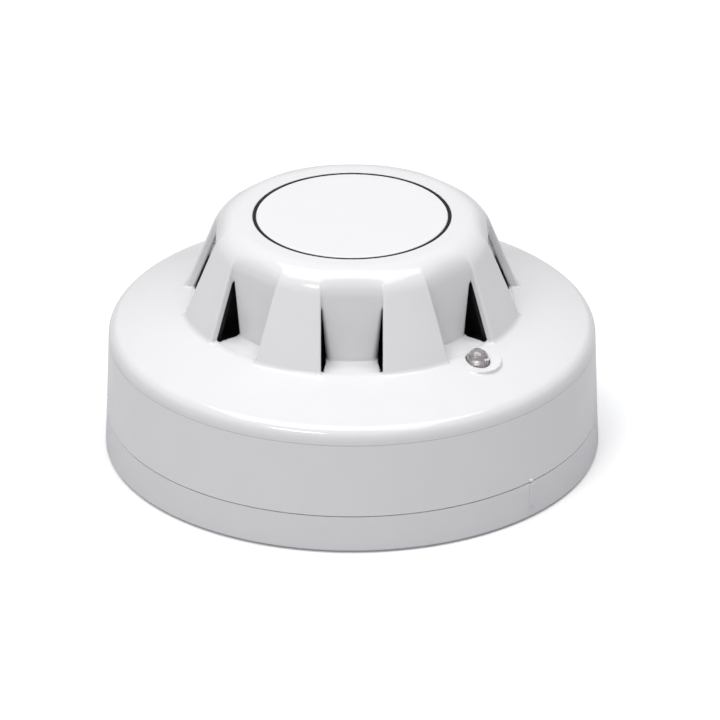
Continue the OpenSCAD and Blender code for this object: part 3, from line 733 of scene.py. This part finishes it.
thin(cover, 0.30)
settle_mesh(cover, cover_field)
print("cover after thinning:", len(cover.data.vertices), "vertices,", len(cover.data.polygons), "faces")

# %% [markdown]
# ### Handing the cover over
# The finished moulding takes the place of the plain one from the frame, and travels with the body cover
# when that is pulled off.

# %% Place the cover
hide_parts("outer_cover")
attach(cover, "cover")
print("cover rides on the body cover")

# %% [markdown]
# ### Keys and mark inside the cover
# Three keys inside the skirt slide into notches in the chassis, so that the cover only goes on one way
# round, and a small raised mark at the rim shows which way the head has to be turned to lock.

# %% Keys and mark
def rounded_block(name, low, high, azimuth, radius, material):
    """A block with rounded edges between two corners (radius, sideways, height), turned to an azimuth."""
    bm = bmesh.new()
    bmesh.ops.create_cube(bm, size=1.0)
    for v in bm.verts:
        for k in range(3):
            v.co[k] = (low[k] + high[k]) / 2 + v.co[k] * (high[k] - low[k])
    bmesh.ops.bevel(bm, geom=bm.edges[:], offset=radius, segments=3, profile=0.5, affect="EDGES")
    c, s = math.cos(math.radians(azimuth)), math.sin(math.radians(azimuth))
    verts = [(v.co.x * c - v.co.y * s, v.co.x * s + v.co.y * c, v.co.z) for v in bm.verts]
    faces = [[v.index for v in f.verts] for f in bm.faces]
    bm.free()
    return mesh_from(name, verts, faces, material)


def join(name, things):
    bpy.ops.object.select_all(action="DESELECT")
    for thing in things:
        thing.select_set(True)
    bpy.context.view_layer.objects.active = things[0]
    bpy.ops.object.join()
    things[0].name = name
    return things[0]


MARK = -44
key_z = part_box("head_contacts")[0].z / MM + 1.9
keys = join("cover_keys", [rounded_block("key", (wall_r - 1.4, -1, key_z),
                                         (wall_r + 0.5, 1, skirt_top - 3), a + 5, 0.3, cover_white)
                           for a in (0, 120, 240)])
mark = rounded_block("cover_mark", (seam_r - 0.9, -0.55, cover_z0 + 0.03),
                     (seam_r + 0.4, 0.55, cover_z0 + 0.7), MARK, 0.25, cover_white)
for thing in (keys, mark):
    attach(thing, "cover")
print("keys:", len(keys.data.vertices), "vertices; mark at", MARK, "degrees")

# %% [markdown]
# ## The top disc and its joint
# The flat top is a separate white disc, pressed into its seat on three pins. A dark bedding ring shows in
# the joint round it. Both are turned shapes: a profile is swept round the axis. The disc has a fine
# radius at its rim, and its face is a touch hollow, as sunk mouldings are.

# %% Turned shapes
def lathe(name, profile, material, centre=(0, 0), segments=96):
    """Sweeps (radius, height) points round the vertical line at centre; points at radius 0 close it."""
    verts, rows = [], []
    for r, z in profile:
        if r < 1e-6:
            rows.append([len(verts)])
            verts.append((centre[0], centre[1], z))
        else:
            rows.append(list(range(len(verts), len(verts) + segments)))
            verts += [(centre[0] + r * math.cos(2 * math.pi * i / segments),
                       centre[1] + r * math.sin(2 * math.pi * i / segments), z) for i in range(segments)]
    faces = []
    for a, b in zip(rows, rows[1:]):
        for i in range(segments):
            j = (i + 1) % segments
            if len(a) == 1:
                faces.append((a[0], b[j], b[i]))
            elif len(b) == 1:
                faces.append((a[i], a[j], b[0]))
            else:
                faces.append((a[i], a[j], b[j], b[i]))
    return mesh_from(name, verts, faces, material)


def polar(r, azimuth):
    return r * math.cos(math.radians(azimuth)), r * math.sin(math.radians(azimuth))


disc_profile = [(0, seat_z), (disc_r, seat_z), (disc_r, top_z - 0.25)] \
    + arc(disc_r - 0.25, top_z - 0.25, 0.25, 20, 90, 5) + [(disc_r - 2, top_z - 0.01), (0, top_z - 0.02)]
disc = lathe("disc_face", disc_profile, disc_white, segments=192)
pins = [lathe("pin", [(0, ceiling - 0.6), (1.0, ceiling - 0.6), (1.2, ceiling - 0.4), (1.2, seat_z + 0.01),
                      (0, seat_z + 0.01)], disc_white, polar(12, a), 24) for a in (30, 150, 270)]
disc = join("top_disc_face", [disc] + pins)
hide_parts("top_disc")
seal = lathe("disc_bedding", [(disc_r + 0.02, seat_z + 0.01), (seat_r - 0.02, seat_z + 0.01),
                              (seat_r - 0.02, top_z - 0.10), (disc_r + 0.35, top_z - 0.04),
                              (disc_r + 0.02, top_z - 0.10), (disc_r + 0.02, seat_z + 0.01)],
             seal_black, segments=192)
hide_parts("disc_seal")
for thing in (disc, seal):
    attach(thing, "cover")
print("disc:", len(disc.data.vertices), "vertices, seal:", len(seal.data.vertices))

# %% [markdown]
# ## The alarm lamp
# The lamp is a standard round one: a clear body with a flange at its foot, and two wires that end inside
# it. One wire carries a small dished anvil with the light chip in it, the other a post joined to the chip
# by a hair of wire. The body is one closed glass shape, and the metal inside it is modelled, since that
# is what gives a clear lamp its look.

# %% Lamp
lamp_azimuth = -45
lamp_xy = polar(lamp_at, lamp_azimuth)
lamp_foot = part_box("alarm_led")[0].z / MM
lamp_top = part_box("alarm_led")[1].z / MM
lamp_round = lamp_top - lamp_r
lens = lathe("lamp_lens", [(0, lamp_foot + 0.01), (lamp_r - 0.1, lamp_foot + 0.01), (lamp_r, lamp_foot + 0.1),
                           (lamp_r, lamp_foot + 1.0), (lamp_r - 0.08, lamp_foot + 1.05)]
             + [(r - 0.08 * (1 - i / 14), z)
                for i, (r, z) in enumerate(arc(0, lamp_round, lamp_r, 0, 84, 14))]
             + [(0, lamp_top)], lens_epoxy, lamp_xy, 64)
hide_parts("alarm_led")


def beside(distance):
    """A point beside the lamp's centre, across its radius."""
    a = math.radians(lamp_azimuth)
    return lamp_xy[0] - distance * math.sin(a), lamp_xy[1] + distance * math.cos(a)


anvil_z = lamp_round - 0.9
wire_foot = [(0, lamp_foot + 0.3), (0.25, lamp_foot + 0.3)]
anvil = lathe("anvil", [(0, anvil_z - 1.6), (0.55, anvil_z - 1.6), (0.62, anvil_z - 0.2), (0.95, anvil_z),
                        (0.95, anvil_z + 0.5), (0.85, anvil_z + 0.5), (0.45, anvil_z + 0.12),
                        (0, anvil_z + 0.1)], tin, beside(-0.35), 24)
stem = lathe("stem", wire_foot + [(0.25, anvil_z - 1.5), (0, anvil_z - 1.5)], tin, beside(-1.0), 12)
post = lathe("post", wire_foot + [(0.25, anvil_z + 0.1), (0.4, anvil_z + 0.4), (0.3, anvil_z + 0.6),
                                  (0, anvil_z + 0.6)], tin, beside(1.2), 12)
lamp_metal = join("lamp_anvil", [anvil, stem, post])
for thing in (lens, lamp_metal):
    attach(thing, "head")
print("lamp at", [round(v, 1) for v in lamp_xy], "top", round(lamp_top, 2))

# %% [markdown]
# ## The insect screen
# A fine wire screen stands round the thermistor, inside the black cage, to keep insects out. It is woven:
# upright wires pass in front of and behind the rings in turn, and the rings do the opposite.

# %% Woven screen
def wire(points, radius, closed, sides=4):
    """A thin tube along a list of points in millimetres: vertices and faces."""
    points = np.asarray(points, float)
    ahead = np.roll(points, -1, 0) - np.roll(points, 1, 0)
    if not closed:
        ahead[0], ahead[-1] = points[1] - points[0], points[-1] - points[-2]
    ahead /= np.linalg.norm(ahead, axis=1, keepdims=True)
    out = points * [1, 1, 0]
    out /= np.linalg.norm(out, axis=1, keepdims=True)
    side = np.cross(ahead, out)
    out = np.cross(side, ahead)
    turn = 2 * math.pi * (np.arange(sides) + 0.5) / sides
    verts = (points[:, None] + radius * (out[:, None] * np.cos(turn)[None, :, None]
                                         + side[:, None] * np.sin(turn)[None, :, None])).reshape(-1, 3)
    n, faces = len(points), []
    for i in range(n if closed else n - 1):
        a, b = i * sides, ((i + 1) % n) * sides
        for k in range(sides):
            m = (k + 1) % sides
            faces.append((a + k, a + m, b + m, b + k))
    if not closed:
        faces += [tuple(range(sides))[::-1], tuple((n - 1) * sides + k for k in range(sides))]
    return verts, faces


def build_screen(radius, low, high, wires=96, rings=9, wire_r=0.09):
    """A woven tube; the wires of either way swing in and out by their own radius."""
    verts, faces, count = [], [], 0

    def lay(points, closed):
        nonlocal faces, count
        v, f = wire(points, wire_r, closed)
        verts.append(v)
        faces += [tuple(i + count for i in q) for q in f]
        count += len(v)

    gap = (high - low - 0.6) / (rings - 1)
    levels = low + 0.3 + gap * np.arange(rings)
    for w in range(wires):
        z = np.linspace(low, high, 2 * rings + 1)
        r = radius + wire_r * np.cos(math.pi * (z - levels[0]) / gap) * (1 if w % 2 else -1)
        a = 2 * math.pi * w / wires
        lay(np.stack([r * math.cos(a), r * math.sin(a), z], 1), False)
    for k, z in enumerate(levels):
        a = 2 * math.pi * np.arange(2 * wires) / (2 * wires)
        r = radius - wire_r * np.cos(math.pi * k) * np.cos(a * wires / 2)
        lay(np.stack([r * np.cos(a), r * np.sin(a), np.full(len(a), z)], 1), True)
    return mesh_from("woven_screen", np.concatenate(verts), faces, mesh_dark)


screen_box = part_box("mesh_screen")
screen = build_screen(screen_box[1].x / MM - 0.18, screen_box[0].z / MM, screen_box[1].z / MM)
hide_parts("mesh_screen")
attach(screen, "head")
print("screen:", len(screen.data.polygons), "faces")

# %% [markdown]
# ## Terminal screws
# Each terminal has a round-headed screw with a cross slot. Its thread is rolled, a ridge that winds up
# the shank, so the shank here is a helix: the radius at each height depends on how far round one is.

# %% Threaded shank with a pan head
def build_screw(index, azimuth):
    """The screw of one terminal: a rolled thread under a pan head with a cross slot."""
    low, high = (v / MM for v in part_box(f"terminal_screw_{index}"))
    cx, cy = polar(30.0, azimuth)
    head_z = high.z - 1.6
    pitch, crest, root, around = 0.6, 1.74, 1.42, 36
    rows = int((head_z - low.z) / (pitch / 6))
    verts, faces = [], []
    for i in range(rows + 1):
        z = low.z + 0.01 + (head_z - low.z - 0.02) * i / rows
        for k in range(around):
            a = 2 * math.pi * k / around
            phase = (z / pitch - k / around) % 1.0
            r = root + (crest - root) * (1 - abs(2 * phase - 1))
            r = min(r, root + max(0.0, z - low.z) * 0.5)
            verts.append((cx + r * math.cos(a), cy + r * math.sin(a), z))
    for i in range(rows):
        for k in range(around):
            m = (k + 1) % around
            a, b = i * around, (i + 1) * around
            faces.append((a + k, a + m, b + m, b + k))
    faces.append(tuple(range(around))[::-1])
    shank = mesh_from("shank", verts, faces, steel_screw)
    head = lathe("head", [(1.3, head_z - 0.02), (2.8, head_z), (3.0, head_z + 0.2), (2.95, head_z + 0.8),
                          (2.6, head_z + 1.3), (1.9, head_z + 1.55), (0, high.z)], steel_screw, (cx, cy), 48)
    cutter = [rounded_block("slot_cut", (-2.1, -0.4, head_z + 0.7), (2.1, 0.4, head_z + 3), turn, 0.05,
                            steel_screw) for turn in (azimuth, azimuth + 90)]
    for tool in cutter:
        tool.location = (cx * MM, cy * MM, 0)
        step = head.modifiers.new("slot", "BOOLEAN")
        step.operation = "DIFFERENCE"
        step.object = tool
        step.solver = "EXACT"
    bpy.context.view_layer.update()
    graph = bpy.context.evaluated_depsgraph_get()
    mesh = bpy.data.meshes.new_from_object(head.evaluated_get(graph))
    head.modifiers.clear()
    head.data = mesh
    for tool in cutter:
        bpy.data.objects.remove(tool)
    return join(f"screw_{index}", [head, shank])


for i, azimuth in enumerate((45, 135, 225, 315, 90), start=1):
    made = build_screw(i, azimuth)
    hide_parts(f"terminal_screw_{i}")
    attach(made, f"screw_{i}")

# %% [markdown]
# ## Thermistor and solder
# The sensing bead is dipped in epoxy, so it is a drop that runs down its two wires a little. Every wire
# that comes through the board ends in a small cone of solder.

# %% Bead and solder joints
bead_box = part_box("thermistor_bead")
bead_mid = (bead_box[0].z + bead_box[1].z) / 2 / MM
bead_h = (bead_box[1].z - bead_box[0].z) / 2 / MM
bead_w = bead_box[1].x / MM
drop = [(0, bead_mid - bead_h)]
for i in range(1, 24):
    t = -90 + i * 7.5
    swell = 1 - 0.12 * max(0.0, -math.sin(math.radians(t)))
    drop.append((bead_w * swell * math.cos(math.radians(t)), bead_mid + bead_h * math.sin(math.radians(t))))
bead = lathe("bead_drop", drop + [(0, bead_mid + bead_h)], bead_epoxy, segments=48)
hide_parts("thermistor_bead")

board_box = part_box("circuit_board")
board_low, board_top = board_box[0].z / MM, board_box[1].z / MM


def solder(centre, wire_r, reach, up):
    z, s = (board_top, 1) if up else (board_low, -1)
    rows = [(reach, 0.0), (reach * 0.8, 0.10), (wire_r + 0.18, 0.35), (wire_r + 0.02, 0.7)]
    rows = [(r, z + s * h) for r, h in rows] + [(0, z + s * 0.78)]
    return lathe("joint", rows if up else rows[::-1], tin, centre, 20)


joints = []
for azimuth in (45, 135, 225, 315):
    a = math.radians(azimuth)
    joints.append(solder((36.4 * math.cos(a) - 9.3 * math.sin(a), 36.4 * math.sin(a) + 9.3 * math.cos(a)),
                         0.6, 1.3, True))
joints += [solder(beside(s * 1.27), 0.25, 0.8, False) for s in (-1, 1)]
joints += [solder((s, 0), 0.25, 0.8, False) for s in (-1, 1)]
solder_joints = join("solder_joints", joints)
for thing in (bead, solder_joints):
    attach(thing, "head")
print("bead", len(bead.data.vertices), "vertices; solder joints:", len(joints))

# %% [markdown]
# ## Floor, light and camera
# The detector lies on its back on a pale floor. One soft box hangs over it and a smaller one stands high
# in front of it to the left, which draws the thin bright line along the rim. The floor looks white but
# throws back less light than it shows, so the skirt is a little darker than the shoulder, as on a table.

# %% Floor
def build_floor():
    mesh = bpy.data.meshes.new("studio_floor")
    s = 3.0
    mesh.from_pydata([(-s, -s, 0), (s, -s, 0), (s, s, 0), (-s, s, 0)], [], [(0, 1, 2, 3)])
    thing = bpy.data.objects.new("studio_floor", mesh)
    bpy.context.scene.collection.objects.link(thing)
    made = bpy.data.materials.new("floor_paper")
    made.use_nodes = True
    tree = made.node_tree
    shader = tree.nodes["Principled BSDF"]
    place = node(tree, "ShaderNodeTexCoord").outputs["Object"]
    tooth = node(tree, "ShaderNodeTexNoise", links={"Vector": place}, Scale=900.0, Detail=3.0)
    relief = node(tree, "ShaderNodeBump", links={"Height": tooth.outputs["Fac"]}, Strength=0.05,
                  Distance=0.0003)
    tree.links.new(relief.outputs["Normal"], shader.inputs["Normal"])
    seen = node(tree, "ShaderNodeLightPath").outputs["Is Camera Ray"]
    tone = node(tree, "ShaderNodeMix", settings={"data_type": "RGBA"}, links={0: seen})
    tone.inputs[6].default_value = (0.60, 0.60, 0.615, 1)
    tone.inputs[7].default_value = (0.97, 0.97, 0.97, 1)
    tree.links.new(tone.outputs[2], shader.inputs["Base Color"])
    tree.links.new(math_node(tree, "MULTIPLY", seen, 0.12), shader.inputs["Emission Strength"])
    shader.inputs["Emission Color"].default_value = (1, 1, 1, 1)
    shader.inputs["Roughness"].default_value = 0.9
    shader.inputs["Specular IOR Level"].default_value = 0.1
    mesh.materials.append(made)
    thing.location.z = -0.0004
    return thing


floor = build_floor()
print("floor:", floor.name)

# %% [markdown]
# ### Lights
# A wide soft box overhead gives the shoulder and the disc their even white. The front box is long and
# narrow, because the highlight that it draws along the rim has the shape of the lamp. A weak pale sky
# fills the shadows.

# %% Lights
def soft_box(name, place, aim, size, watts):
    lamp = bpy.data.lights.new(name, "AREA")
    lamp.shape = "RECTANGLE"
    lamp.size, lamp.size_y = size
    lamp.energy = watts
    thing = bpy.data.objects.new(name, lamp)
    thing.location = place
    thing.rotation_euler = (Vector(aim) - Vector(place)).to_track_quat("-Z", "Y").to_euler()
    bpy.context.scene.collection.objects.link(thing)
    return thing


soft_box("overhead_box", (-0.02, -0.08, 1.0), (0, 0, 0.03), (1.25, 0.80), 9.9)
soft_box("front_box", (-0.40, -0.72, 0.80), (0, 0, 0.03), (0.42, 0.11), 2.1)
world = bpy.data.worlds.new("studio_world")
world.use_nodes = True
world.node_tree.nodes["Background"].inputs["Color"].default_value = (0.96, 0.97, 1.0, 1)
world.node_tree.nodes["Background"].inputs["Strength"].default_value = 0.33
bpy.context.scene.world = world
bpy.context.scene.view_settings.view_transform = "Standard"
bpy.context.scene.view_settings.look = "None"

# %% [markdown]
# ### Camera
# A long lens from two metres away, 26.7 degrees above the floor, keeps the round shapes calm,
# as in a catalogue view.

# %% Camera
def build_camera(aim, elevation, distance, lens):
    data = bpy.data.cameras.new("studio_camera")
    data.lens = lens
    data.sensor_width = 36
    data.clip_start, data.clip_end = 0.05, 20
    thing = bpy.data.objects.new("studio_camera", data)
    e = math.radians(elevation)
    aim = Vector(aim)
    thing.location = aim + distance * Vector((0, -math.cos(e), math.sin(e)))
    thing.rotation_euler = (aim - thing.location).to_track_quat("-Z", "Y").to_euler()
    bpy.context.scene.collection.objects.link(thing)
    bpy.context.scene.camera = thing
    return thing


camera = build_camera(aim=(0.00161, 0, 0.01749), elevation=26.66, distance=2.0, lens=494.2)
print("camera at", [round(v, 3) for v in camera.location])

# %% [markdown]
# ## Last step

# %% End
print("scene built")
